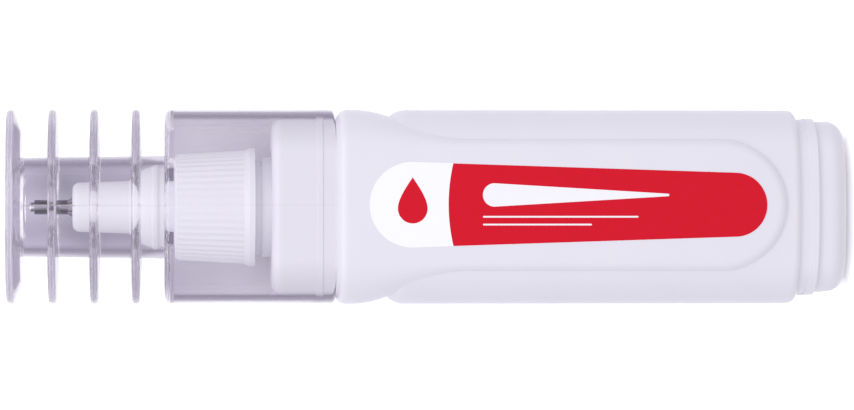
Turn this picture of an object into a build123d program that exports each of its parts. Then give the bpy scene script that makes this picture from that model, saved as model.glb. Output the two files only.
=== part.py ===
"""Squeeze correction pen with a spring-loaded valve tip and a clear push-on cap.

Millimetres. The pen lies on its back: +X runs from the tip to the tail, +Y goes
across it and +Z comes up out of the label face. The origin is under the middle
of the pen, on the surface that it lies on.
"""

from math import cos, pi, sin, sqrt
import os

from build123d import *

os.makedirs("parts", exist_ok=True)

# Oval section shared by the bottle and the cap
width = 25.0
edge_radius = 6.0

# Clearances
overrun = 1.0
fixed_clearance = 0.02
thread_clearance = 0.05
running_clearance = 0.07

# Neck of the bottle, and the nozzle's collar that screws over it
neck_radius = 6.2
neck_wall = 1.3
neck_ring_rise = 0.25
neck_ring_length = 1.2
collar_front_wall = 0.62
collar_flare = 0.5
collar_lip_rise = 0.33
collar_length = 10.3
collar_end_wall = 1.2
collar_edge_radius = 0.3
collar_band_length = 1.4
collar_lip_length = 0.7
bare_neck = 2.1
gasket_thickness = 0.8
rib_count = 48
rib_depth = 0.1
rib_core_depth = 0.05

# Front of the nozzle
land_radius = 5.2
land_length = 3.05
seal_rise = 0.25
seal_length = 1.1
seal_crest_length = 0.4
flare_length = 2.85
flare_bulge = 0.3
snout_back_radius = 3.42
snout_front_radius = 3.2
snout_nose_radius = 0.9

# Valve in the nozzle
tip_radius = 0.95
tip_wall = 0.23
tip_length = 4.3
tip_cone_length = 0.65
tip_shank_radius = 1.37
tip_shank_wall = 0.27
tip_shank_length = 2.95
tip_rim_radius = 0.12
seat_offset = 0.25
seat_length = 0.6
needle_reach = 0.7
needle_nose_radius = 0.35
needle_head_length = 0.9
stem_radius = 0.45
stem_tail = 1.2
chamber_radius = 1.95
spring_wire = 0.28
spring_mean_radius = 0.78
spring_turns = 6
retainer_boss_length = 2.6
retainer_flange_length = 2.0
retainer_flange_radius = 3.85
flow_hole_radius = 0.35
flow_hole_count = 4
flow_circle_radius = 1.2

# Clear cap
cap_wall = 1.0
cap_clearance = 0.2
collar_room = 0.2
collar_front_room = 0.15
tip_room = 0.98
rim_gap = 0.15
sleeve_length = 22.0
sleeve_end_wall = 1.2
sleeve_corner_radius = 0.8
sleeve_rim_radius = 0.55
tube_length = 20.28
tube_wall = 1.1
tube_draft = 0.25
land_clearance = 0.15
bore_end_radius = 0.4
end_plate = 1.05
end_root = 1.8
end_slope = 2.6
end_edge_radius = 0.42
fin_count = 3
last_fin_gap = 3.66
fin_thickness = 1.0
fin_root = 1.5
fin_slope = 5.5
fin_edge_radius = 0.42
groove_depth = 0.15
groove_room = 0.1

# Bottle
spigot_edge_radius = 1.3
ridge_clearance = 0.08
ridge_length = 0.8
ridge_edge = 0.08
ridge_setback = 1.8
bead_length = 2.4
bead_edge_radius = 1.4
taper_length = 14.0
taper_shares = (0.0, 0.25, 0.5, 0.75, 1.0)
pad_width = 17.0
pad_rise = 0.6
pad_edge_radius = 1.3
pad_end_margin = 1.7
barrel_setback = 5.95
barrel_length = 53.95
barrel_nose_radius = 3.0
barrel_heel_radius = 0.9
tail_length = 6.1
tail_bow = 0.55
tail_step = 0.28
tail_edge_radius = 2.2
tail_ridge_setback = 1.1
tail_ridge_length = 1.25
wall = 1.2
funnel_width = 12.0
funnel_depth = 11.0
funnel_edge_radius = 4.0
funnel_setback = 3.0

# Label and mixing balls
label_thickness = 0.1
label_front_radius = 5.5
label_back_radius = 4.15
label_setback = 4.1
label_end_margin = 2.9
ball_radius = 2.25
ball_clearance = 0.1
ball_place_shares = (0.24, 0.6)
ball_lane_shares = (-0.22, 0.22)

# Radii and the depth of the pen, which the cap needs to clear the collar
collar_bore = neck_radius + thread_clearance
collar_front_radius = collar_bore + collar_front_wall
collar_back_radius = collar_front_radius + collar_flare
collar_lip_radius = collar_back_radius + collar_lip_rise
depth = 2 * (collar_lip_radius + collar_room + cap_wall)
axis_height = depth / 2
spigot_inset = cap_wall + cap_clearance
ridge_inset = cap_wall + ridge_clearance
tail_inset = spigot_inset + tail_step
barrel_depth = depth - 2 * pad_rise
seal_radius = land_radius + seal_rise

# Lengths of the front of the pen, which fills the inside of the cap
front_length = sleeve_length + rim_gap - sleeve_end_wall - collar_front_room
spigot_length = front_length - collar_length - bare_neck
nozzle_reach = tube_length - end_root - tip_room + sleeve_end_wall + collar_front_room
tip_reach = tip_cone_length + tip_length + needle_reach
snout_length = nozzle_reach - tip_reach - flare_length - land_length
fin_pitch = (tube_length - end_plate / 2 - last_fin_gap) / fin_count

# Places along the pen
cap_length = tube_length + sleeve_length
body_length = barrel_setback + barrel_length + tail_length
overall_length = cap_length + rim_gap + body_length
cap_end_x = -overall_length / 2
sleeve_x = cap_end_x + tube_length
rim_x = cap_end_x + cap_length
shoulder_x = rim_x + rim_gap
barrel_x = shoulder_x + barrel_setback
heel_x = barrel_x + barrel_length
taper_x = shoulder_x + bead_length
pad_x = taper_x + taper_length
pad_end_x = heel_x - pad_end_margin
spigot_x = shoulder_x - spigot_length
collar_back_x = spigot_x - bare_neck
collar_x = collar_back_x - collar_length
gasket_x = collar_x + collar_end_wall
neck_x = gasket_x + gasket_thickness
land_x = collar_x - land_length
seal_end_x = land_x + seal_length
crest_x = land_x + (seal_length - seal_crest_length) / 2
flare_x = land_x - flare_length
snout_x = flare_x - snout_length
tip_x = snout_x - tip_cone_length - tip_length
needle_x = tip_x - needle_reach
shank_end_x = snout_x + tip_shank_length
retainer_seat_x = gasket_x - retainer_flange_length - fixed_clearance
boss_x = retainer_seat_x - retainer_boss_length

pad_arc_x = pad_end_x - pad_width / 2
hollow_x = barrel_x + barrel_nose_radius
hollow_end_x = heel_x - tail_bow - wall
hollow_width = width - 2 * wall
hollow_depth = barrel_depth - 2 * wall
funnel_x = shoulder_x - funnel_setback

label_x = shoulder_x + label_setback
label_end_x = pad_end_x - label_end_margin
shank_bore = tip_shank_radius + fixed_clearance
retainer_bore = retainer_flange_radius + fixed_clearance
band_x = collar_back_x - collar_band_length
lip_x = collar_back_x - collar_lip_length
rib_x = collar_x + collar_edge_radius
core_front_radius = collar_front_radius - rib_depth - rib_core_depth
core_back_radius = collar_back_radius - rib_depth - rib_core_depth

tip_bore = tip_radius - tip_wall
shank_hollow = tip_shank_radius - tip_shank_wall
seat_x = snout_x - tip_cone_length + seat_offset
needle_radius = tip_bore - running_clearance
head_radius = shank_hollow - running_clearance
spring_x = seat_x + seat_length + needle_head_length
stem_end_x = retainer_seat_x + stem_tail
coil_start_x = spring_x + spring_wire / 2 + fixed_clearance
coil_end_x = boss_x - spring_wire / 2 - fixed_clearance
ball_height = axis_height - hollow_depth / 2 + ball_radius + ball_clearance
tube_bore = seal_radius + land_clearance
bore_end_reach = tube_bore - tube_draft
groove_length = ridge_length + 2 * groove_room
groove_x = shoulder_x - ridge_setback - ridge_length - groove_room

pen_axis = Axis((0, 0, axis_height), (1, 0, 0))
plan = Plane.XY.offset(axis_height)
lengthwise = Plane(origin=(0, 0, axis_height), x_dir=(1, 0, 0), z_dir=(0, -1, 0))


def across(x):
    """The plane square to the pen's axis at x, with +Y to its right and +Z up."""
    return Plane(origin=(x, 0, axis_height), x_dir=(0, 1, 0), z_dir=(1, 0, 0))


def oval(inset):
    """The pen's section, drawn in all round by inset."""
    RectangleRounded(width - 2 * inset, depth - 2 * inset, edge_radius - inset)


def behind_bow(x):
    """The space behind a shallow arc across the pen, which bulges to x at the middle."""
    half = width / 2 + overrun
    with BuildPart() as space:
        with BuildSketch(plan):
            with BuildLine():
                left = (x - tail_bow, half)
                right = (x - tail_bow, -half)
                ThreePointArc(left, (x, 0), right)
                Polyline(right, (x + 2 * tail_length, -half), (x + 2 * tail_length, half), left)
            make_face()
        extrude(amount=depth, both=True)
    return space.part


def rib_outline(radius):
    """Points of the collar's fine straight ribs, peaks at radius and valleys below it."""
    step = pi / rib_count
    points = []
    for corner in range(2 * rib_count):
        reach = radius - rib_depth * (corner % 2)
        points.append((reach * cos(corner * step), reach * sin(corner * step)))
    return points


def coil_point(half_turn):
    """A point of the spring's centre line, and the way the wire runs there."""
    turn = half_turn / 2
    angle = 2 * pi * turn
    rise = (coil_end_x - coil_start_x) / spring_turns
    place = Vector(
        coil_start_x + rise * turn,
        spring_mean_radius * cos(angle),
        axis_height + spring_mean_radius * sin(angle),
    )
    around = 2 * pi * spring_mean_radius
    return place, Vector(rise, -around * sin(angle), around * cos(angle)).normalized()


def arc_meeting(start, start_way, end, end_way):
    """Where two arcs meet that leave start and reach end along the given ways."""
    span = end - start
    ways = start_way + end_way
    slack = 4 - ways.dot(ways)
    lean = span.dot(ways)
    reach = (sqrt(lean * lean + slack * span.dot(span)) - lean) / slack
    return (start + start_way * reach + end - end_way * reach) / 2


# Front spigot, with the ridge that the cap clicks over
with BuildPart() as spigot:
    with BuildSketch(across(spigot_x)):
        oval(spigot_inset)
    extrude(amount=spigot_length + bead_length)
    fillet(spigot.faces().sort_by(Axis.X)[0].edges(), spigot_edge_radius)

# Full-width bead that the cap's rim stops at
with BuildPart() as bead:
    with BuildSketch(across(shoulder_x)):
        oval(0)
    extrude(amount=bead_length)
    fillet(bead.faces().sort_by(Axis.X)[0].edges(), bead_edge_radius)

# Side rails of the body, with a soft nose and heel
with BuildPart() as barrel:
    with BuildSketch(across(barrel_x)):
        RectangleRounded(width, barrel_depth, edge_radius)
    extrude(amount=barrel_length)
    add(behind_bow(heel_x), mode=Mode.SUBTRACT)
    fillet(barrel.faces().sort_by(Axis.X)[0].edges(), barrel_nose_radius)
    fillet(barrel.faces().sort_by(Axis.X)[-1].edges(), barrel_heel_radius)

# Raised pad for the label on the front, and the same on the back, with a round end
with BuildPart() as pad:
    with BuildSketch(plan):
        with BuildLine():
            pad_left = (pad_arc_x, pad_width / 2)
            pad_right = (pad_arc_x, -pad_width / 2)
            Polyline(pad_left, (pad_x, pad_width / 2), (pad_x, -pad_width / 2), pad_right)
            ThreePointArc(pad_right, (pad_end_x, 0), pad_left)
        make_face()
    extrude(amount=axis_height, both=True)
    pad_rim = pad.faces().filter_by(Axis.Z).edges()
    fillet(pad_rim.filter_by(Axis.Y, reverse=True), pad_edge_radius)

# Shoulder that draws in from the bead to the pads
with BuildPart() as shoulder:
    for share in taper_shares:
        ease = share * share * (3 - 2 * share)
        with BuildSketch(across(taper_x + share * taper_length)):
            RectangleRounded(
                width + ease * (pad_width - width),
                depth,
                edge_radius + ease * (pad_edge_radius - edge_radius),
            )
    loft()

# Low ridge round the front spigot, which the cap's groove clicks over
with BuildPart() as front_ridge:
    with BuildSketch(across(shoulder_x - ridge_setback - ridge_length)):
        oval(ridge_inset)
    extrude(amount=ridge_length)
    chamfer(front_ridge.faces().filter_by(Axis.X).edges(), ridge_edge)

# Tail that the cap can be pushed on while writing, bowed like the heel, with its own ridge
with BuildPart() as post_band:
    with BuildSketch(across(heel_x - overrun)):
        oval(spigot_inset)
    extrude(amount=overrun + tail_ridge_setback + tail_ridge_length / 2)

with BuildPart() as tail_ridge:
    with BuildSketch(across(heel_x)):
        oval(ridge_inset)
    extrude(amount=tail_ridge_setback + tail_ridge_length)
    add(behind_bow(heel_x + tail_ridge_setback), mode=Mode.INTERSECT)
    add(behind_bow(heel_x + tail_ridge_setback + tail_ridge_length), mode=Mode.SUBTRACT)
    ridge_ends = tail_ridge.faces().sort_by(Axis.X)
    chamfer(ridge_ends[0].edges() + ridge_ends[-1].edges(), ridge_edge)

with BuildPart() as tail:
    with BuildSketch(across(heel_x - overrun)):
        oval(tail_inset)
    extrude(amount=overrun + tail_length)
    add(behind_bow(heel_x + tail_length), mode=Mode.SUBTRACT)
    fillet(tail.faces().sort_by(Axis.X)[-1].edges(), tail_edge_radius)

# The bottle in one piece, blow moulded with a hollow body and an open neck
with BuildPart() as bottle:
    add(barrel.part)
    add(pad.part)
    add(shoulder.part)
    add(bead.part)
    add(spigot.part)
    add(post_band.part)
    add(tail_ridge.part)
    add(tail.part)
    add(front_ridge.part)
    with BuildSketch(across(neck_x)):
        Circle(neck_radius)
    extrude(amount=spigot_x - neck_x + overrun)
    with BuildSketch(across(spigot_x - neck_ring_length)):
        Circle(neck_radius + neck_ring_rise)
    extrude(amount=neck_ring_length + overrun)
    with BuildSketch(across(hollow_x)):
        RectangleRounded(hollow_width, hollow_depth, edge_radius - wall)
    extrude(amount=hollow_end_x - hollow_x, mode=Mode.SUBTRACT)
    with BuildSketch(across(hollow_end_x - overrun)):
        oval(tail_inset + wall)
    extrude(amount=tail_length + overrun, mode=Mode.SUBTRACT)
    with BuildSketch(across(funnel_x)):
        RectangleRounded(funnel_width, funnel_depth, funnel_edge_radius)
    with BuildSketch(across(hollow_x)):
        RectangleRounded(hollow_width, hollow_depth, edge_radius - wall)
    loft(ruled=True, mode=Mode.SUBTRACT)
    with BuildSketch(across(neck_x)):
        Circle(neck_radius - neck_wall)
    extrude(amount=funnel_x - neck_x + overrun, mode=Mode.SUBTRACT)
bottle.part.label = "bottle"
export_step(bottle.part, "parts/bottle.step")

# Printed film label on the front pad, a round-ended strip that narrows to the tail
with BuildPart() as front_label:
    with BuildSketch(Plane.XY.offset(depth)):
        with Locations((label_x + label_front_radius, 0)):
            Circle(label_front_radius)
        with Locations((label_end_x - label_back_radius, 0)):
            Circle(label_back_radius)
        make_hull()
    extrude(amount=label_thickness)
front_label.part.label = "front_label"
export_step(front_label.part, "parts/front_label.step")

# Nozzle: snout, land with a sealing bead, and a ribbed collar that screws over the neck
with BuildPart() as nozzle:
    with BuildSketch(lengthwise):
        with BuildLine():
            nose_start = (snout_x, snout_front_radius - snout_nose_radius)
            nose_end = (snout_x + snout_nose_radius, snout_front_radius)
            edge_start = (collar_x, core_front_radius - collar_edge_radius)
            edge_end = (rib_x, core_front_radius)
            Line((snout_x, 0), nose_start)
            TangentArc(nose_start, nose_end, tangent=(0, 1))
            Line(nose_end, (flare_x, snout_back_radius))
            SagittaArc((flare_x, snout_back_radius), (land_x, land_radius), flare_bulge)
            Polyline(
                (land_x, land_radius),
                (crest_x, seal_radius),
                (crest_x + seal_crest_length, seal_radius),
                (seal_end_x, land_radius),
                (collar_x, land_radius),
                edge_start,
            )
            TangentArc(edge_start, edge_end, tangent=(0, 1))
            Polyline(
                edge_end,
                (band_x, core_back_radius),
                (band_x, collar_back_radius),
                (lip_x, collar_lip_radius),
                (collar_back_x, collar_lip_radius),
                (collar_back_x, 0),
                (snout_x, 0),
            )
        make_face()
    revolve(axis=pen_axis)
    for station, radius in ((rib_x, collar_front_radius), (band_x, collar_back_radius)):
        with BuildSketch(across(station)):
            with BuildLine():
                Polyline(*rib_outline(radius), close=True)
            make_face()
    loft(ruled=True)
    with BuildSketch(lengthwise):
        with BuildLine():
            Polyline(
                (snout_x - overrun, 0),
                (snout_x - overrun, shank_bore),
                (shank_end_x, shank_bore),
                (shank_end_x, chamber_radius),
                (retainer_seat_x, chamber_radius),
                (retainer_seat_x, retainer_bore),
                (gasket_x, retainer_bore),
                (gasket_x, collar_bore),
                (collar_back_x + overrun, collar_bore),
                (collar_back_x + overrun, 0),
                close=True,
            )
        make_face()
    revolve(axis=pen_axis, mode=Mode.SUBTRACT)
nozzle.part.label = "nozzle"
export_step(nozzle.part, "parts/nozzle.step")

# Soft washer squeezed between the neck's rim and the inside of the collar
with BuildPart() as neck_gasket:
    with BuildSketch(across(gasket_x)):
        Circle(neck_radius)
        Circle(neck_radius - neck_wall, mode=Mode.SUBTRACT)
    extrude(amount=gasket_thickness)
neck_gasket.part.label = "neck_gasket"
export_step(neck_gasket.part, "parts/neck_gasket.step")

# Turned steel tip pressed into the snout, with the valve's cone seat inside
with BuildPart() as steel_tip:
    with BuildSketch(lengthwise):
        with BuildLine():
            rim_start = (tip_x, tip_radius - tip_rim_radius)
            rim_end = (tip_x + tip_rim_radius, tip_radius)
            Line((tip_x, tip_bore), rim_start)
            TangentArc(rim_start, rim_end, tangent=(0, 1))
            Polyline(
                rim_end,
                (tip_x + tip_length, tip_radius),
                (snout_x, tip_shank_radius),
                (shank_end_x, tip_shank_radius),
                (shank_end_x, shank_hollow),
                (seat_x + seat_length, shank_hollow),
                (seat_x, tip_bore),
                (tip_x, tip_bore),
            )
        make_face()
    revolve(axis=pen_axis)
steel_tip.part.label = "steel_tip"
export_step(steel_tip.part, "parts/steel_tip.step")

# Valve needle: a pin that the paper pushes in, a cone that closes the seat, and a stem
with BuildPart() as valve_needle:
    with BuildSketch(lengthwise):
        with BuildLine():
            dome_start = (needle_x, needle_radius - needle_nose_radius)
            dome_end = (needle_x + needle_nose_radius, needle_radius)
            Line((needle_x, 0), dome_start)
            TangentArc(dome_start, dome_end, tangent=(0, 1))
            Polyline(
                dome_end,
                (seat_x, needle_radius),
                (seat_x + seat_length, head_radius),
                (spring_x, head_radius),
                (spring_x, stem_radius),
                (stem_end_x, stem_radius),
                (stem_end_x, 0),
                (needle_x, 0),
            )
        make_face()
    revolve(axis=pen_axis)
valve_needle.part.label = "valve_needle"
export_step(valve_needle.part, "parts/valve_needle.step")

# Coil spring behind the needle's head, wound as a chain of tangent arcs
with BuildPart() as valve_spring:
    with BuildLine() as spring_line:
        for half_turn in range(2 * spring_turns):
            start, start_way = coil_point(half_turn)
            end, end_way = coil_point(half_turn + 1)
            middle = arc_meeting(start, start_way, end, end_way)
            TangentArc(start, middle, tangent=start_way)
            TangentArc(end, middle, tangent=end_way * -1)
    with BuildSketch(Plane(origin=coil_point(0)[0], z_dir=coil_point(0)[1])):
        Circle(spring_wire / 2)
    sweep(path=spring_line.wires()[0])
valve_spring.part.label = "valve_spring"
export_step(valve_spring.part, "parts/valve_spring.step")

# Retainer pressed in behind the spring, with holes that let the fluid through
with BuildPart() as spring_retainer:
    with BuildSketch(across(boss_x)):
        Circle(chamber_radius - fixed_clearance)
    extrude(amount=retainer_boss_length + overrun)
    with BuildSketch(across(retainer_seat_x)):
        Circle(retainer_flange_radius)
    extrude(amount=retainer_flange_length)
    with BuildSketch(across(boss_x)):
        Circle(stem_radius + running_clearance)
        with PolarLocations(flow_circle_radius, flow_hole_count):
            Circle(flow_hole_radius)
    extrude(amount=gasket_x - boss_x, mode=Mode.SUBTRACT)
spring_retainer.part.label = "spring_retainer"
export_step(spring_retainer.part, "parts/spring_retainer.step")

# Two loose steel balls that stir the fluid when the pen is shaken
for number, (place_share, lane_share) in enumerate(zip(ball_place_shares, ball_lane_shares), 1):
    with BuildPart() as mixing_ball:
        ball_x = hollow_x + place_share * (hollow_end_x - hollow_x)
        with Locations((ball_x, lane_share * hollow_width, ball_height)):
            Sphere(ball_radius)
    mixing_ball.part.label = f"mixing_ball_{number}"
    export_step(mixing_ball.part, f"parts/mixing_ball_{number}.step")

# One fin of the cap, with a rounded rim, thicker towards the tube
with BuildPart() as fin:
    with BuildSketch(across(0)):
        oval(0)
    extrude(amount=fin_thickness / 2, both=True)
    fillet(fin.faces().filter_by(Axis.X).edges(), fin_edge_radius)
    with BuildSketch(across(fin_thickness / 2)):
        oval(fin_edge_radius)
    with BuildSketch(across(fin_root / 2)):
        oval(fin_slope)
    loft(ruled=True)
    with BuildSketch(across(-fin_root / 2)):
        oval(fin_slope)
    with BuildSketch(across(-fin_thickness / 2)):
        oval(fin_edge_radius)
    loft(ruled=True)

# Closed end of the cap, flat outside and thicker towards the tube
with BuildPart() as end_disc:
    with BuildSketch(across(cap_end_x)):
        oval(0)
    extrude(amount=end_plate)
    fillet(end_disc.faces().filter_by(Axis.X).edges(), end_edge_radius)
    with BuildSketch(across(cap_end_x + end_plate)):
        oval(end_edge_radius)
    with BuildSketch(across(cap_end_x + end_root)):
        oval(end_slope)
    loft(ruled=True)

# Clear cap: an oval sleeve, a round tube for the nozzle and grip fins along the tube
with BuildPart() as clear_cap:
    with BuildSketch(across(sleeve_x)):
        oval(0)
    extrude(amount=sleeve_length)
    fillet(clear_cap.faces().sort_by(Axis.X)[0].edges(), sleeve_corner_radius)
    fillet(clear_cap.faces().sort_by(Axis.X)[-1].edges(), sleeve_rim_radius)
    with BuildSketch(across(sleeve_x + sleeve_end_wall)):
        oval(cap_wall)
    extrude(amount=sleeve_length, mode=Mode.SUBTRACT)
    with BuildSketch(across(groove_x)):
        oval(cap_wall - groove_depth)
    extrude(amount=groove_length, mode=Mode.SUBTRACT)
    add(end_disc.part)
    for place in range(1, fin_count + 1):
        add(fin.part.moved(Location((cap_end_x + end_plate / 2 + place * fin_pitch, 0, 0))))
    with BuildSketch(lengthwise):
        with BuildLine():
            Polyline(
                (cap_end_x + end_plate / 2, 0),
                (cap_end_x + end_plate / 2, bore_end_reach + tube_wall),
                (sleeve_x + sleeve_end_wall / 2, tube_bore + tube_wall),
                (sleeve_x + sleeve_end_wall / 2, 0),
                close=True,
            )
        make_face()
    revolve(axis=pen_axis)
    with BuildSketch(lengthwise):
        with BuildLine():
            Polyline(
                (cap_end_x + end_root, 0),
                (cap_end_x + end_root, bore_end_reach - bore_end_radius),
                (cap_end_x + end_root + bore_end_radius, bore_end_reach),
                (sleeve_x + sleeve_end_wall + overrun, tube_bore),
                (sleeve_x + sleeve_end_wall + overrun, 0),
                close=True,
            )
        make_face()
    revolve(axis=pen_axis, mode=Mode.SUBTRACT)
clear_cap.part.label = "clear_cap"
export_step(clear_cap.part, "parts/clear_cap.step")
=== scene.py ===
import bmesh
import bpy
from mathutils import Matrix, Vector


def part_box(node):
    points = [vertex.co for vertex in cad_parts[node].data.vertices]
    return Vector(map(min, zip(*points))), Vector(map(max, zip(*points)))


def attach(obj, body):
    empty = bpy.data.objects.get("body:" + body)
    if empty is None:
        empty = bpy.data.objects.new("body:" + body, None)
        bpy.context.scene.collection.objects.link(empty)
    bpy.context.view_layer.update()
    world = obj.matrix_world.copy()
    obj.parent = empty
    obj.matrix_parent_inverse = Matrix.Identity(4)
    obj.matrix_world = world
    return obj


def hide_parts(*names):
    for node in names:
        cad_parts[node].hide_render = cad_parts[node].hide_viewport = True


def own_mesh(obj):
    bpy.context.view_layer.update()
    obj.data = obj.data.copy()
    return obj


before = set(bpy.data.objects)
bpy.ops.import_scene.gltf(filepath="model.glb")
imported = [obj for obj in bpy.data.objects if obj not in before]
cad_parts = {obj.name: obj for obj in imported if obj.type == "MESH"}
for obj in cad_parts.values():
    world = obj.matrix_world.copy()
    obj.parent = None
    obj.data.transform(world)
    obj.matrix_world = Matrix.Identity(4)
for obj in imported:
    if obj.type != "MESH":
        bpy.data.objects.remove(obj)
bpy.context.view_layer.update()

# Bottle: one hollow flat flask of white polyethylene, blown in a mould of two halves.
# Its skin is satin and faintly waxy, with a fine grain from the blasted mould, and a low
# seam runs round it at mid height, where the halves met.
MM = 0.001
bottle_low, bottle_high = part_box("bottle")
SEAM_HEIGHT = (bottle_low.z + bottle_high.z) / 2
SEAM_HALF_WIDTH = 0.1 * MM
SEAM_RISE = 0.02 * MM
BOTTLE_PALE = "#E6E4ED"
BOTTLE_DEEP = "#E2E0EA"
PATCHES_PER_CLOUD = 4
# The span in which nearly all values of a noise lie, and the colour sockets of a Mix node.
NOISE_LOW, NOISE_HIGH = 0.3, 0.7
MIX_A, MIX_B, MIXED = 6, 7, 2


def linear(code):
    """The linear colour of an sRGB hex code."""
    shares = [int(code[place:place + 2], 16) / 255 for place in (1, 3, 5)]
    return [s / 12.92 if s <= 0.04045 else ((s + 0.055) / 1.055) ** 2.4 for s in shares] + [1.0]


def add_node(tree, kind, inputs=(), **settings):
    """Adds a node with its settings, and sets or links its inputs."""
    made = tree.nodes.new(kind)
    for name, value in settings.items():
        setattr(made, name, value)
    for socket, value in dict(inputs).items():
        if isinstance(value, bpy.types.NodeSocket):
            tree.links.new(value, made.inputs[socket])
        else:
            made.inputs[socket].default_value = value
    return made


def bare_material(name):
    """A material with an empty node tree."""
    material = bpy.data.materials.new(name)
    material.use_nodes = True
    material.node_tree.nodes.clear()
    return material


def moulded_plastic(name, pale, deep, cloud, grain, grain_rise, rough, **surface):
    """A moulded plastic: soft clouds of two close colours, uneven satin and a fine raised grain.
    cloud and grain are the widths of the patterns and grain_rise is the grain's height."""
    material = bare_material(name)
    tree = material.node_tree
    place = add_node(tree, "ShaderNodeTexCoord").outputs["Object"]
    clouds = add_node(tree, "ShaderNodeTexNoise", {"Vector": place, "Scale": 1 / cloud, "Detail": 3.0})
    colour = add_node(tree, "ShaderNodeMix", {
        0: clouds.outputs[0], MIX_A: linear(pale), MIX_B: linear(deep)}, data_type="RGBA")
    patches = add_node(tree, "ShaderNodeTexNoise", {
        "Vector": place, "Scale": PATCHES_PER_CLOUD / cloud, "Detail": 2.0})
    satin = add_node(tree, "ShaderNodeMapRange", {
        "Value": patches.outputs[0], "From Min": NOISE_LOW, "From Max": NOISE_HIGH,
        "To Min": rough[0], "To Max": rough[1]})
    grains = add_node(tree, "ShaderNodeTexNoise", {"Vector": place, "Scale": 1 / grain, "Detail": 2.0})
    raised = add_node(tree, "ShaderNodeBump", {
        "Height": grains.outputs[0], "Distance": grain_rise, "Strength": 1.0})
    skin = add_node(tree, "ShaderNodeBsdfPrincipled", {
        "Base Color": colour.outputs[MIXED], "Roughness": satin.outputs[0], "Normal": raised.outputs[0],
        **surface})
    add_node(tree, "ShaderNodeOutputMaterial", {"Surface": skin.outputs[0]})
    return material


def dress(node, material):
    """Gives a solid of the frame its finished material."""
    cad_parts[node].material_slots[0].material = material


# The grain of a blasted mould is near 0.1 mm; it is drawn at 0.3 mm so that it shows.
polyethylene = moulded_plastic("blown_polyethylene", BOTTLE_PALE, BOTTLE_DEEP, cloud=9 * MM,
                               grain=0.3 * MM, grain_rise=0.004 * MM, rough=(0.29, 0.36), IOR=1.51)
tree = polyethylene.node_tree
place = add_node(tree, "ShaderNodeTexCoord").outputs["Object"]
spot = add_node(tree, "ShaderNodeSeparateXYZ", {0: place})
off_seam = add_node(tree, "ShaderNodeMath", {0: spot.outputs["Z"], 1: SEAM_HEIGHT}, operation="SUBTRACT")
from_seam = add_node(tree, "ShaderNodeMath", {0: off_seam.outputs[0]}, operation="ABSOLUTE")
seam = add_node(tree, "ShaderNodeMapRange", {
    "Value": from_seam.outputs[0], "From Min": 0.0, "From Max": SEAM_HALF_WIDTH,
    "To Min": 1.0, "To Max": 0.0}, interpolation_type="SMOOTHSTEP")
seam_line = add_node(tree, "ShaderNodeBump", {
    "Height": seam.outputs[0], "Distance": SEAM_RISE, "Strength": 1.0})
grain_bump = next(n for n in tree.nodes if n.type == "BUMP" and n != seam_line)
tree.links.new(seam_line.outputs[0], grain_bump.inputs["Normal"])
dress("bottle", polyethylene)

# Label: a die-cut strip of white polypropylene film with round ends, stuck on the flat front
# and a little wider towards the cap. It is printed with a red field that ends in a shallow
# arc and leaves the wide end white, then with plain marks in solid ink.
film_low, film_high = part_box("front_label")
FILM_BASE = film_low.z
FILM_THICKNESS = 0.07 * MM
FILM_EDGE = 0.02 * MM
INK_THICKNESS = 0.012 * MM
FRONT_RADIUS = (film_high.y - film_low.y) / 2
BACK_RADIUS = 4.15 * MM
ROUND_STEPS = 192
FIELD_ARC_RADIUS = 23.3 * MM
FIELD_START = film_low.x + 10.1 * MM
FIELD_TRIM = 0.03 * MM
ARC_STEPS = 4 * ROUND_STEPS
CUTTER_DEPTH = 4 * INK_THICKNESS
FILM_WHITE = "#F9F9FB"
FILM_SHADE = "#F6F6F9"
FIELD_RED = "#D7142C"
FIELD_DEEP_RED = "#D11229"
INK_WHITE = "#F6F5F9"
INK_SHADE = "#F1F0F5"
# Points closer than WELD are one point, and HAIR is well under the step between two points.
WELD = 0.0001 * MM
HAIR = 0.0005 * MM


def select_only(piece, wanted):
    """In edit mode, selects the vertices whose place fits, with the edges and faces between them."""
    shape = bmesh.from_edit_mesh(piece.data)
    for vertex in shape.verts:
        vertex.select_set(bool(wanted(piece.matrix_world @ vertex.co)))
    shape.select_flush(True)
    bmesh.update_edit_mesh(piece.data)


def close_piece(piece, material):
    """Ends the shaping of a layer of the label: merges doubles, turns faces outwards and puts its place
    in its mesh."""
    bpy.ops.mesh.select_all(action="SELECT")
    bpy.ops.mesh.remove_doubles(threshold=WELD)
    bpy.ops.mesh.normals_make_consistent(inside=False)
    bpy.ops.object.mode_set(mode="OBJECT")
    bpy.ops.object.transform_apply(location=True, rotation=True, scale=True)
    piece.data.materials.append(material)
    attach(piece, "pen")


def round_strip(name, front_x, back_x, y, front_radius, back_radius, base, thickness):
    """A flat strip with round ends, its two centres and radii given, left open in edit mode."""
    bpy.ops.object.select_all(action="DESELECT")
    bpy.ops.mesh.primitive_circle_add(vertices=ROUND_STEPS, radius=front_radius, fill_type="NGON",
                                      location=(front_x, y, base))
    strip = bpy.context.object
    strip.name = name
    bpy.ops.object.mode_set(mode="EDIT")
    bpy.ops.mesh.select_mode(type="VERT")
    select_only(strip, lambda at: at.x > front_x + HAIR)
    bpy.ops.transform.translate(value=(back_x - front_x, 0, 0))
    share = back_radius / front_radius
    bpy.ops.transform.resize(value=(share, share, 1), center_override=(back_x, y, base))
    bpy.ops.mesh.select_all(action="SELECT")
    bpy.ops.mesh.extrude_region_move(TRANSFORM_OT_translate={"value": (0, 0, thickness)})
    return strip


def printed_film(name, pale, deep, shine, rough):
    """Film or ink on film: flat colour with the faint mottle of the print and a slight orange peel."""
    return moulded_plastic(name, pale, deep, cloud=1.2 * MM, grain=0.6 * MM, grain_rise=0.002 * MM,
                           rough=rough, **{"IOR": 1.49, "Specular IOR Level": shine})


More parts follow.
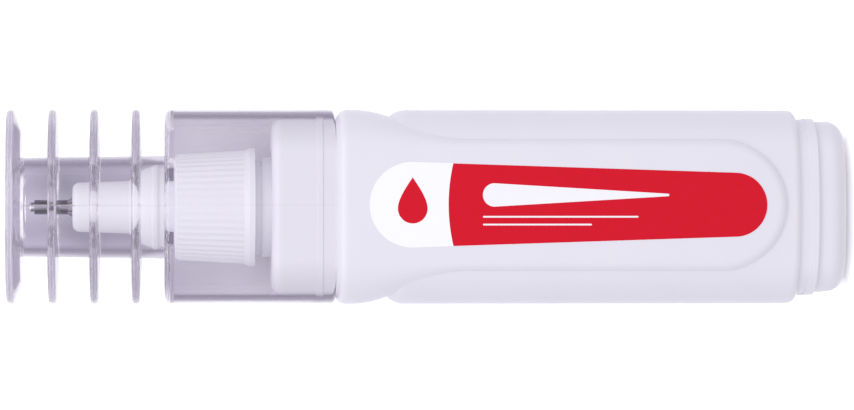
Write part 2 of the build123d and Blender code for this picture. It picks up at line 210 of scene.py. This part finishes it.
white_film = printed_film("white_label_film", FILM_WHITE, FILM_SHADE, shine=0.2, rough=(0.34, 0.42))
red_ink = printed_film("red_label_ink", FIELD_RED, FIELD_DEEP_RED, shine=0.12, rough=(0.34, 0.42))
white_ink = printed_film("white_label_ink", INK_WHITE, INK_SHADE, shine=0.12, rough=(0.38, 0.46))

film_front = film_low.x + FRONT_RADIUS
film_back = film_high.x - BACK_RADIUS
film = round_strip("label_film", film_front, film_back, 0, FRONT_RADIUS, BACK_RADIUS, FILM_BASE,
                   FILM_THICKNESS)
film_top = FILM_BASE + FILM_THICKNESS
select_only(film, lambda at: at.z > film_top - FILM_EDGE)
bpy.ops.mesh.bevel(offset=FILM_EDGE, segments=2, affect="EDGES")
close_piece(film, white_film)
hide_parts("front_label")

field = round_strip("label_red_field", film_front, film_back, 0, FRONT_RADIUS - FIELD_TRIM,
                    BACK_RADIUS - FIELD_TRIM, film_top, INK_THICKNESS)
close_piece(field, red_ink)
bpy.ops.object.select_all(action="DESELECT")
bpy.ops.mesh.primitive_cylinder_add(vertices=ARC_STEPS, radius=FIELD_ARC_RADIUS, depth=CUTTER_DEPTH,
                                    location=(FIELD_START + FIELD_ARC_RADIUS, 0, film_top))
arc = bpy.context.object
bpy.ops.object.select_all(action="DESELECT")
bpy.context.view_layer.objects.active = field
field.select_set(True)
cut = field.modifiers.new("arc", "BOOLEAN")
cut.operation = "INTERSECT"
cut.solver = "EXACT"
cut.object = arc
bpy.ops.object.modifier_apply(modifier=cut.name)
bpy.data.objects.remove(arc, do_unlink=True)

# The marks: a drop in the white end, and in the red field a stroke that thins out, as a brush of
# correcting fluid leaves, over thin rules. Each is a layer of ink on the layer below.
MARK_BASE = film_top + INK_THICKNESS
DROP_RADIUS = 1.9 * MM
DROP_MIDDLE = -0.5 * MM
DROP_POINT = 2.1 * MM
DROP_PULL = 1.5 * DROP_RADIUS
MARK_START = film_low.x + 14.5 * MM
# In millimetres: the mark's middle across, its half width, its length and its half width at the end.
MARKS = (
    ("label_stroke", 1.25, 1.5, 24.0, 0.16),
    ("label_rule_1", -1.55, 0.11, 20.0, 0.11),
    ("label_rule_2", -2.55, 0.11, 14.0, 0.11),
)

bpy.ops.object.select_all(action="DESELECT")
bpy.ops.mesh.primitive_circle_add(vertices=ROUND_STEPS, radius=DROP_RADIUS, fill_type="NGON",
                                  location=(film_front, DROP_MIDDLE, film_top))
drop = bpy.context.object
drop.name = "label_drop"
bpy.ops.object.mode_set(mode="EDIT")
drop_top = max(vertex.co.y for vertex in drop.data.vertices) + drop.location.y
select_only(drop, lambda at: at.y > drop_top - HAIR)
bpy.ops.transform.translate(value=(0, DROP_POINT, 0), use_proportional_edit=True,
                            proportional_edit_falloff="SHARP", proportional_size=DROP_PULL)
bpy.ops.mesh.select_all(action="SELECT")
bpy.ops.mesh.extrude_region_move(TRANSFORM_OT_translate={"value": (0, 0, INK_THICKNESS)})
close_piece(drop, red_ink)

for name, middle, half, reach, end_half in MARKS:
    front_x = MARK_START + half * MM
    back_x = MARK_START + (reach - end_half) * MM
    mark = round_strip(name, front_x, back_x, middle * MM, half * MM, end_half * MM, MARK_BASE,
                       INK_THICKNESS)
    close_piece(mark, white_ink)

# Mixing balls: two loose steel bearing balls, ground round and tumbled bright, that stir the
# fluid when the pen is shaken. They are dropped in through the neck.
BALL_PALE = "#B4B4B8"
BALL_DEEP = "#A2A2A8"
RING_STRETCH = (1.0, 0.02, 0.02)


def worked_steel(name, pale, deep, line, line_rise, rough, turned):
    """Stainless steel with fine tool lines, line apart and line_rise high. turned draws them round the
    pen's axis, and otherwise they lie all ways."""
    material = bare_material(name)
    tree = material.node_tree
    place = add_node(tree, "ShaderNodeTexCoord").outputs["Object"]
    if turned:
        place = add_node(tree, "ShaderNodeMapping", {"Vector": place, "Scale": RING_STRETCH}).outputs[0]
    lines = add_node(tree, "ShaderNodeTexNoise", {"Vector": place, "Scale": 1 / line, "Detail": 3.0})
    colour = add_node(tree, "ShaderNodeMix", {
        0: lines.outputs[0], MIX_A: linear(pale), MIX_B: linear(deep)}, data_type="RGBA")
    satin = add_node(tree, "ShaderNodeMapRange", {
        "Value": lines.outputs[0], "From Min": NOISE_LOW, "From Max": NOISE_HIGH,
        "To Min": rough[0], "To Max": rough[1]})
    cuts = add_node(tree, "ShaderNodeBump", {
        "Height": lines.outputs[0], "Distance": line_rise, "Strength": 1.0})
    metal = add_node(tree, "ShaderNodeBsdfPrincipled", {
        "Base Color": colour.outputs[MIXED], "Metallic": 1.0, "Roughness": satin.outputs[0],
        "Normal": cuts.outputs[0]})
    add_node(tree, "ShaderNodeOutputMaterial", {"Surface": metal.outputs[0]})
    return material


bearing_steel = worked_steel("tumbled_bearing_steel", BALL_PALE, BALL_DEEP, line=0.4 * MM,
                             line_rise=0.0008 * MM, rough=(0.08, 0.16), turned=False)
dress("mixing_ball_1", bearing_steel)
dress("mixing_ball_2", bearing_steel)

# Nozzle: one white polypropylene moulding, from the round snout to the ribbed collar that
# screws on the neck. It is a little whiter and duller than the bottle, with faint flow marks.
NOZZLE_PALE = "#EAE8F0"
NOZZLE_DEEP = "#E4E2EC"
dress("nozzle", moulded_plastic("moulded_polypropylene", NOZZLE_PALE, NOZZLE_DEEP, cloud=5 * MM,
                                grain=0.25 * MM, grain_rise=0.003 * MM, rough=(0.45, 0.55), IOR=1.45))

# Steel tip: a thin stainless tube with a cone and a flange, turned on a lathe and pressed into
# the snout. The tool leaves fine rings; they are drawn 0.12 mm apart so that they show.
TIP_PALE = "#B4AFBC"
TIP_DEEP = "#9C97A4"
dress("steel_tip", worked_steel("turned_stainless_steel", TIP_PALE, TIP_DEEP, line=0.12 * MM,
                                line_rise=0.0015 * MM, rough=(0.05, 0.1), turned=True))

# Valve needle: a ground stainless pin that closes the tip and is pushed in as the tip is pressed.
# Grinding leaves it brighter than the tip, with very fine rings.
NEEDLE_PALE = "#F2F0F5"
NEEDLE_DEEP = "#E6E4EA"
dress("valve_needle", worked_steel("ground_stainless_steel", NEEDLE_PALE, NEEDLE_DEEP, line=0.08 * MM,
                                   line_rise=0.0005 * MM, rough=(0.1, 0.2), turned=True))

# Valve spring: hard-drawn stainless wire coiled round the needle's stem. Drawing leaves the wire
# grey and slightly streaked. Its rear end stays on the retainer.
WIRE_CREASE = 0.7
WIRE_PALE = "#9C9CA0"
WIRE_DEEP = "#808086"
spring_wire = worked_steel("drawn_spring_wire", WIRE_PALE, WIRE_DEEP, line=0.15 * MM,
                           line_rise=0.001 * MM, rough=(0.25, 0.38), turned=False)
coil = bpy.data.objects.new("coiled_spring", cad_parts["valve_spring"].data.copy())
bpy.context.scene.collection.objects.link(coil)
coil.data.materials.clear()
coil.data.materials.append(spring_wire)
bpy.ops.object.select_all(action="DESELECT")
bpy.context.view_layer.objects.active = coil
coil.select_set(True)
bpy.ops.object.mode_set(mode="EDIT")
bpy.ops.mesh.select_all(action="SELECT")
bpy.ops.mesh.remove_doubles(threshold=WELD)
bpy.ops.object.mode_set(mode="OBJECT")
bpy.ops.object.shade_smooth_by_angle(angle=WIRE_CREASE)
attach(coil, "pen")
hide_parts("valve_spring")
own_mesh(coil)

# Spring retainer: a small acetal plug with flow holes, pressed in behind the spring. Acetal is
# a dense, slightly creamy white with a dull shine.
ACETAL_PALE = "#E6E3DA"
ACETAL_DEEP = "#DEDBD2"
dress("spring_retainer", moulded_plastic("moulded_acetal", ACETAL_PALE, ACETAL_DEEP, cloud=2 * MM,
                                         grain=0.15 * MM, grain_rise=0.002 * MM, rough=(0.35, 0.45),
                                         IOR=1.48))

# Gasket: a washer punched from soft closed-cell polyethylene foam, squeezed between the collar
# and the neck. Its cut cells, drawn 0.25 mm wide, make it dull.
FOAM_PALE = "#D9D8D4"
FOAM_DEEP = "#C6C5C1"
dress("neck_gasket", moulded_plastic("polyethylene_foam", FOAM_PALE, FOAM_DEEP, cloud=0.5 * MM,
                                     grain=0.25 * MM, grain_rise=0.05 * MM, rough=(0.8, 0.9), IOR=1.5))

# Cap: a clear polystyrene moulding with three grip fins and an end plate, pushed over the
# spigot. Thin walls look clear, and long paths along walls and fins look faintly violet. A fine
# parting line runs along its front and back, and the fins and the plate are lightly frosted.
CAP_CLEAR = "#FBFAFC"
CAP_TINT = "#DCD0EA"
CAP_TINT_DENSITY = 14.0
FIN_ROUGH = 0.18
FIN_REACH = (6.6 * MM, 7.2 * MM)
SLEEVE_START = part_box("clear_cap")[0].x + 19.5 * MM
PARTING_HALF_WIDTH = 0.07 * MM
PARTING_RISE = 0.03 * MM
RUB_WIDTH = 3 * MM
RUB_ROUGH = 0.03
polystyrene = bare_material("clear_polystyrene")
tree = polystyrene.node_tree
place = add_node(tree, "ShaderNodeTexCoord").outputs["Object"]
spot = add_node(tree, "ShaderNodeSeparateXYZ", {0: place})
from_line = add_node(tree, "ShaderNodeMath", {0: spot.outputs["Y"]}, operation="ABSOLUTE")
parting = add_node(tree, "ShaderNodeMapRange", {
    "Value": from_line.outputs[0], "From Min": 0.0, "From Max": PARTING_HALF_WIDTH,
    "To Min": 1.0, "To Max": 0.0}, interpolation_type="SMOOTHSTEP")
parting_line = add_node(tree, "ShaderNodeBump", {
    "Height": parting.outputs[0], "Distance": PARTING_RISE, "Strength": 1.0})
rubs = add_node(tree, "ShaderNodeTexNoise", {"Vector": place, "Scale": 1 / RUB_WIDTH, "Detail": 4.0})
polish = add_node(tree, "ShaderNodeMapRange", {
    "Value": rubs.outputs[0], "From Min": NOISE_LOW, "From Max": NOISE_HIGH,
    "To Min": 0.0, "To Max": RUB_ROUGH})
# How far a point lies from the pen's axis tells the fins from the tube.
from_axis = add_node(tree, "ShaderNodeVectorMath", {0: place, 1: (0.0, 0.0, SEAM_HEIGHT)},
                     operation="SUBTRACT")
flat = add_node(tree, "ShaderNodeVectorMath", {0: from_axis.outputs[0], 1: (0.0, 1.0, 1.0)},
                operation="MULTIPLY")
reach = add_node(tree, "ShaderNodeVectorMath", {0: flat.outputs[0]}, operation="LENGTH")
fins = add_node(tree, "ShaderNodeMapRange", {
    "Value": reach.outputs["Value"], "From Min": FIN_REACH[0], "From Max": FIN_REACH[1],
    "To Min": 0.0, "To Max": FIN_ROUGH})
grip = add_node(tree, "ShaderNodeMath", {0: spot.outputs["X"], 1: SLEEVE_START}, operation="LESS_THAN")
frost = add_node(tree, "ShaderNodeMath", {0: fins.outputs[0], 1: grip.outputs[0], 2: polish.outputs[0]},
                 operation="MULTIPLY_ADD")
clear = add_node(tree, "ShaderNodeBsdfPrincipled", {
    "Base Color": linear(CAP_CLEAR), "Roughness": frost.outputs[0], "IOR": 1.59,
    "Transmission Weight": 1.0, "Normal": parting_line.outputs[0]})
tint = add_node(tree, "ShaderNodeVolumeAbsorption", {
    "Color": linear(CAP_TINT), "Density": CAP_TINT_DENSITY})
add_node(tree, "ShaderNodeOutputMaterial", {"Surface": clear.outputs[0], "Volume": tint.outputs[0]})
dress("clear_cap", polystyrene)
# Clear plastic throws next to no shadow on what is inside it.
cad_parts["clear_cap"].visible_shadow = False
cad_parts["clear_cap"].visible_diffuse = False
# Light runs on a long way inside clear plastic before it leaves.
bpy.context.scene.cycles.max_bounces = 32
bpy.context.scene.cycles.glossy_bounces = 24
bpy.context.scene.cycles.transmission_bounces = 24

# Table: a plain sheet of white paper that the pen lies on, white to the eye and in reflections.
# Seen through the cap it has painted shade, a soft lavender grey, darker to both sides of the cap.
# It keeps the pen's shadow, and a painted contact shadow lies under the bottle and fades just behind the
# tail.
TABLE_SIZE = 3.0
TABLE_GLOW = 0.45
# The sheet's white, and the greyer tone of what it throws back on the pen.
SHEET_WHITE = "#F2F1F5"
SHEET_BOUNCE = "#BDB8C6"
# Painted shade through the cap: its tones, by their share of the way from the end plate to the spigot.
THROUGH_SLANT = (1.0, 0.25, 0.0)
THROUGH_SPAN = (-55 * MM, -20 * MM)
THROUGH_CAP_PAINTED_SHADES = ((0.12, "#C0BACC"), (0.26, "#A6A1B2"), (0.44, "#BDB8C8"), (0.8, "#E1DDE7"))
# Beside the tube, and further out beside the sleeve, the painted shade darkens. Far ahead of the cap it
# ends.
TUBE_END = (-37 * MM, -34 * MM)
TUBE_HALF_WIDTH = 6.5 * MM
SLEEVE_HALF_WIDTH = 12 * MM
BESIDE_WIDTH = 7 * MM
BESIDE_CAP_PAINTED_SHADE = "#7E768C"
AHEAD_SPAN = (-72 * MM, -60 * MM)
# The painted contact shadow: its middle, where its ends and sides fade, and how its ends bow with the
# tail.
PAINTED_SHADOW_MIDDLE = bottle_high.x - 32.2 * MM
PAINTED_SHADOW_REACH = (33.6 * MM, 35.4 * MM)
PAINTED_SHADOW_SIDES = (6.5 * MM, 11.0 * MM)
PAINTED_SHADOW_TURN = 7.7e4
PAINTED_SHADOW_POWER = 4.0
PAINTED_SHADOW_TONE = "#8A8591"
bpy.ops.object.select_all(action="DESELECT")
bpy.ops.mesh.primitive_plane_add(size=TABLE_SIZE)
table = bpy.context.object
table.name = "table"
paper = bare_material("white_table_paper")
tree = paper.node_tree
path = add_node(tree, "ShaderNodeLightPath")
place = add_node(tree, "ShaderNodeTexCoord").outputs["Object"]
slanted = add_node(tree, "ShaderNodeVectorMath", {0: place, 1: THROUGH_SLANT}, operation="DOT_PRODUCT")
along = add_node(tree, "ShaderNodeMapRange", {
    "Value": slanted.outputs["Value"], "From Min": THROUGH_SPAN[0], "From Max": THROUGH_SPAN[1],
    "To Min": 0.0, "To Max": 1.0})
through = add_node(tree, "ShaderNodeValToRGB", {0: along.outputs[0]})
for stop, (share, tone) in zip(through.color_ramp.elements, (THROUGH_CAP_PAINTED_SHADES[0], THROUGH_CAP_PAINTED_SHADES[-1])):
    stop.position = share
    stop.color = linear(tone)
for share, tone in THROUGH_CAP_PAINTED_SHADES[1:-1]:
    through.color_ramp.elements.new(share).color = linear(tone)
parts = add_node(tree, "ShaderNodeSeparateXYZ", {0: place})
off_axis = add_node(tree, "ShaderNodeMath", {0: parts.outputs["Y"]}, operation="ABSOLUTE")
half_width = add_node(tree, "ShaderNodeMapRange", {
    "Value": parts.outputs["X"], "From Min": TUBE_END[0], "From Max": TUBE_END[1],
    "To Min": TUBE_HALF_WIDTH, "To Max": SLEEVE_HALF_WIDTH})
past_edge = add_node(tree, "ShaderNodeMath", {0: off_axis.outputs[0], 1: half_width.outputs[0]},
                     operation="SUBTRACT")
beside = add_node(tree, "ShaderNodeMapRange", {
    "Value": past_edge.outputs[0], "From Min": 0.0, "From Max": BESIDE_WIDTH,
    "To Min": 0.0, "To Max": 1.0}, interpolation_type="SMOOTHSTEP")
# Painted shade: rays through the cap find the sheet lavender grey, darker beside the tube and sleeve.
painted_shade_through_cap = add_node(tree, "ShaderNodeMix", {
    0: beside.outputs[0], MIX_A: through.outputs[0], MIX_B: linear(BESIDE_CAP_PAINTED_SHADE)}, data_type="RGBA")
ahead = add_node(tree, "ShaderNodeMapRange", {
    "Value": parts.outputs["X"], "From Min": AHEAD_SPAN[0], "From Max": AHEAD_SPAN[1],
    "To Min": 0.0, "To Max": 1.0})
behind = add_node(tree, "ShaderNodeMix", {
    0: ahead.outputs[0], MIX_A: linear(SHEET_WHITE), MIX_B: painted_shade_through_cap.outputs[MIXED]}, data_type="RGBA")
turn = add_node(tree, "ShaderNodeMath", {0: off_axis.outputs[0], 1: PAINTED_SHADOW_POWER}, operation="POWER")
bowed = add_node(tree, "ShaderNodeMath", {0: turn.outputs[0], 1: PAINTED_SHADOW_TURN, 2: parts.outputs["X"]},
                 operation="MULTIPLY_ADD")
off_middle = add_node(tree, "ShaderNodeMath", {0: bowed.outputs[0], 1: PAINTED_SHADOW_MIDDLE},
                      operation="SUBTRACT")
from_middle = add_node(tree, "ShaderNodeMath", {0: off_middle.outputs[0]}, operation="ABSOLUTE")
beyond = add_node(tree, "ShaderNodeMapRange", {
    "Value": from_middle.outputs[0], "From Min": PAINTED_SHADOW_REACH[0], "From Max": PAINTED_SHADOW_REACH[1],
    "To Min": 0.0, "To Max": 1.0})
aside = add_node(tree, "ShaderNodeMapRange", {
    "Value": off_axis.outputs[0], "From Min": PAINTED_SHADOW_SIDES[0], "From Max": PAINTED_SHADOW_SIDES[1],
    "To Min": 0.0, "To Max": 1.0}, interpolation_type="SMOOTHSTEP")
outside_painted_shadow = add_node(tree, "ShaderNodeMath", {0: beyond.outputs[0], 1: aside.outputs[0]}, operation="MAXIMUM")
# Painted shadow: under the bottle and just behind the tail, the sheet's white turns to the shadow tone.
sheet_with_painted_shadow = add_node(tree, "ShaderNodeMix", {
    0: outside_painted_shadow.outputs[0], MIX_A: linear(PAINTED_SHADOW_TONE), MIX_B: linear(SHEET_WHITE)}, data_type="RGBA")
open_sheet = add_node(tree, "ShaderNodeMix", {
    0: path.outputs["Is Diffuse Ray"], MIX_A: sheet_with_painted_shadow.outputs[MIXED], MIX_B: linear(SHEET_BOUNCE)},
    data_type="RGBA")
sheet = add_node(tree, "ShaderNodeMix", {
    0: path.outputs["Is Transmission Ray"], MIX_A: open_sheet.outputs[MIXED],
    MIX_B: behind.outputs[MIXED]}, data_type="RGBA")
diffuse = add_node(tree, "ShaderNodeBsdfDiffuse", {"Color": sheet.outputs[MIXED]})
open_view = add_node(tree, "ShaderNodeMath", {
    0: path.outputs["Is Camera Ray"], 1: path.outputs["Is Glossy Ray"]}, operation="MAXIMUM")
not_through = add_node(tree, "ShaderNodeMath", {
    0: open_view.outputs[0], 1: path.outputs["Is Transmission Ray"]},
    operation="SUBTRACT", use_clamp=True)
# The glow fades inside the painted shadow as well, so that the painted shadow shows.
glow_outside_painted_shadow = add_node(tree, "ShaderNodeMath", {0: outside_painted_shadow.outputs[0], 1: TABLE_GLOW}, operation="MULTIPLY")
glow = add_node(tree, "ShaderNodeMath", {0: not_through.outputs[0], 1: glow_outside_painted_shadow.outputs[0]},
                operation="MULTIPLY")
white = add_node(tree, "ShaderNodeEmission", {"Color": (1, 1, 1, 1), "Strength": glow.outputs[0]})
both = add_node(tree, "ShaderNodeAddShader", {0: diffuse.outputs[0], 1: white.outputs[0]})
add_node(tree, "ShaderNodeOutputMaterial", {"Surface": both.outputs[0]})
table.data.materials.append(paper)

# Light: a tent of pale cloth, a little brighter overhead and towards the cap, and one wide soft
# lamp on the cap's side. To the eye the tent is white, and light that the cap bends finds its
# long sides dark violet, as if dark boards stood there.
TENT_MIDDLE = 0.97
TENT_SIDES = 0.95
TENT_LEFT = 1.11
TENT_RIGHT = 0.92
LAMP_PLACE = Vector((-0.36, 0.0, 0.28))
LAMP_WIDTH = 0.6
LAMP_HEIGHT = 0.17
LAMP_POWER = 0.55
TENT_CLOTH = "#F8F7FB"
BENT_TONES = ((0.2, "#F6F4FA"), (0.85, "#352F40"))
world = bpy.data.worlds.new("pale_tent")
world.use_nodes = True
bpy.context.scene.world = world
tree = world.node_tree
tree.nodes.clear()
path = add_node(tree, "ShaderNodeLightPath")
way = add_node(tree, "ShaderNodeSeparateXYZ", {
    0: add_node(tree, "ShaderNodeTexCoord").outputs["Generated"]})
across = add_node(tree, "ShaderNodeMath", {0: way.outputs["Y"]}, operation="ABSOLUTE")
level = add_node(tree, "ShaderNodeMapRange", {
    "Value": across.outputs[0], "From Min": 0.0, "From Max": 1.0,
    "To Min": TENT_MIDDLE, "To Max": TENT_SIDES})
side = add_node(tree, "ShaderNodeMapRange", {
    "Value": way.outputs["X"], "From Min": -1.0, "From Max": 1.0,
    "To Min": TENT_LEFT, "To Max": TENT_RIGHT})
tent = add_node(tree, "ShaderNodeMath", {0: level.outputs[0], 1: side.outputs[0]}, operation="MULTIPLY")
shades = add_node(tree, "ShaderNodeValToRGB", {0: across.outputs[0]})
for stop, (share, tone) in zip(shades.color_ramp.elements, BENT_TONES):
    stop.position = share
    stop.color = linear(tone)
cloth = add_node(tree, "ShaderNodeBackground", {"Color": linear(TENT_CLOTH), "Strength": tent.outputs[0]})
bent = add_node(tree, "ShaderNodeBackground", {"Color": shades.outputs[0], "Strength": 1.0})
plain = add_node(tree, "ShaderNodeBackground", {"Color": (1, 1, 1, 1), "Strength": 1.0})
first = add_node(tree, "ShaderNodeMixShader", {
    0: path.outputs["Is Transmission Ray"], 1: cloth.outputs[0], 2: bent.outputs[0]})
second = add_node(tree, "ShaderNodeMixShader", {
    0: path.outputs["Is Camera Ray"], 1: first.outputs[0], 2: plain.outputs[0]})
add_node(tree, "ShaderNodeOutputWorld", {"Surface": second.outputs[0]})

lamp = bpy.data.lights.new("soft_lamp", "AREA")
lamp.shape = "RECTANGLE"
lamp.size = LAMP_WIDTH
lamp.size_y = LAMP_HEIGHT
lamp.energy = LAMP_POWER
holder = bpy.data.objects.new("soft_lamp", lamp)
bpy.context.scene.collection.objects.link(holder)
holder.location = LAMP_PLACE
holder.rotation_euler = (-LAMP_PLACE).to_track_quat("-Z", "Y").to_euler()
holder.visible_camera = False

# Camera: high above the table and a little towards the cap, with the pen's length across the
# picture. Its lens shows a pixel of the picture as PIXEL at the pen's mid height.
PIXEL = 0.13 * MM
IMAGE_WIDTH = 854
SENSOR = 36.0
camera_place = Vector((-33.1, -21.7, 608.9)) * MM
camera_aim = Vector((0.14, 0.29, 8.9)) * MM
back = (camera_place - camera_aim).normalized()
right = (Vector((1, 0, 0)) - back * back.x).normalized()
up = back.cross(right)
camera_data = bpy.data.cameras.new("camera")
camera_data.sensor_width = SENSOR
camera_data.lens = SENSOR * (camera_place - camera_aim).length / (IMAGE_WIDTH * PIXEL)
camera_data.clip_start = 10 * MM
camera = bpy.data.objects.new("camera", camera_data)
bpy.context.scene.collection.objects.link(camera)
camera.location = camera_place
camera.rotation_euler = Matrix((right, up, back)).transposed().to_euler()
bpy.context.scene.camera = camera
bpy.context.scene.view_settings.view_transform = "Standard"
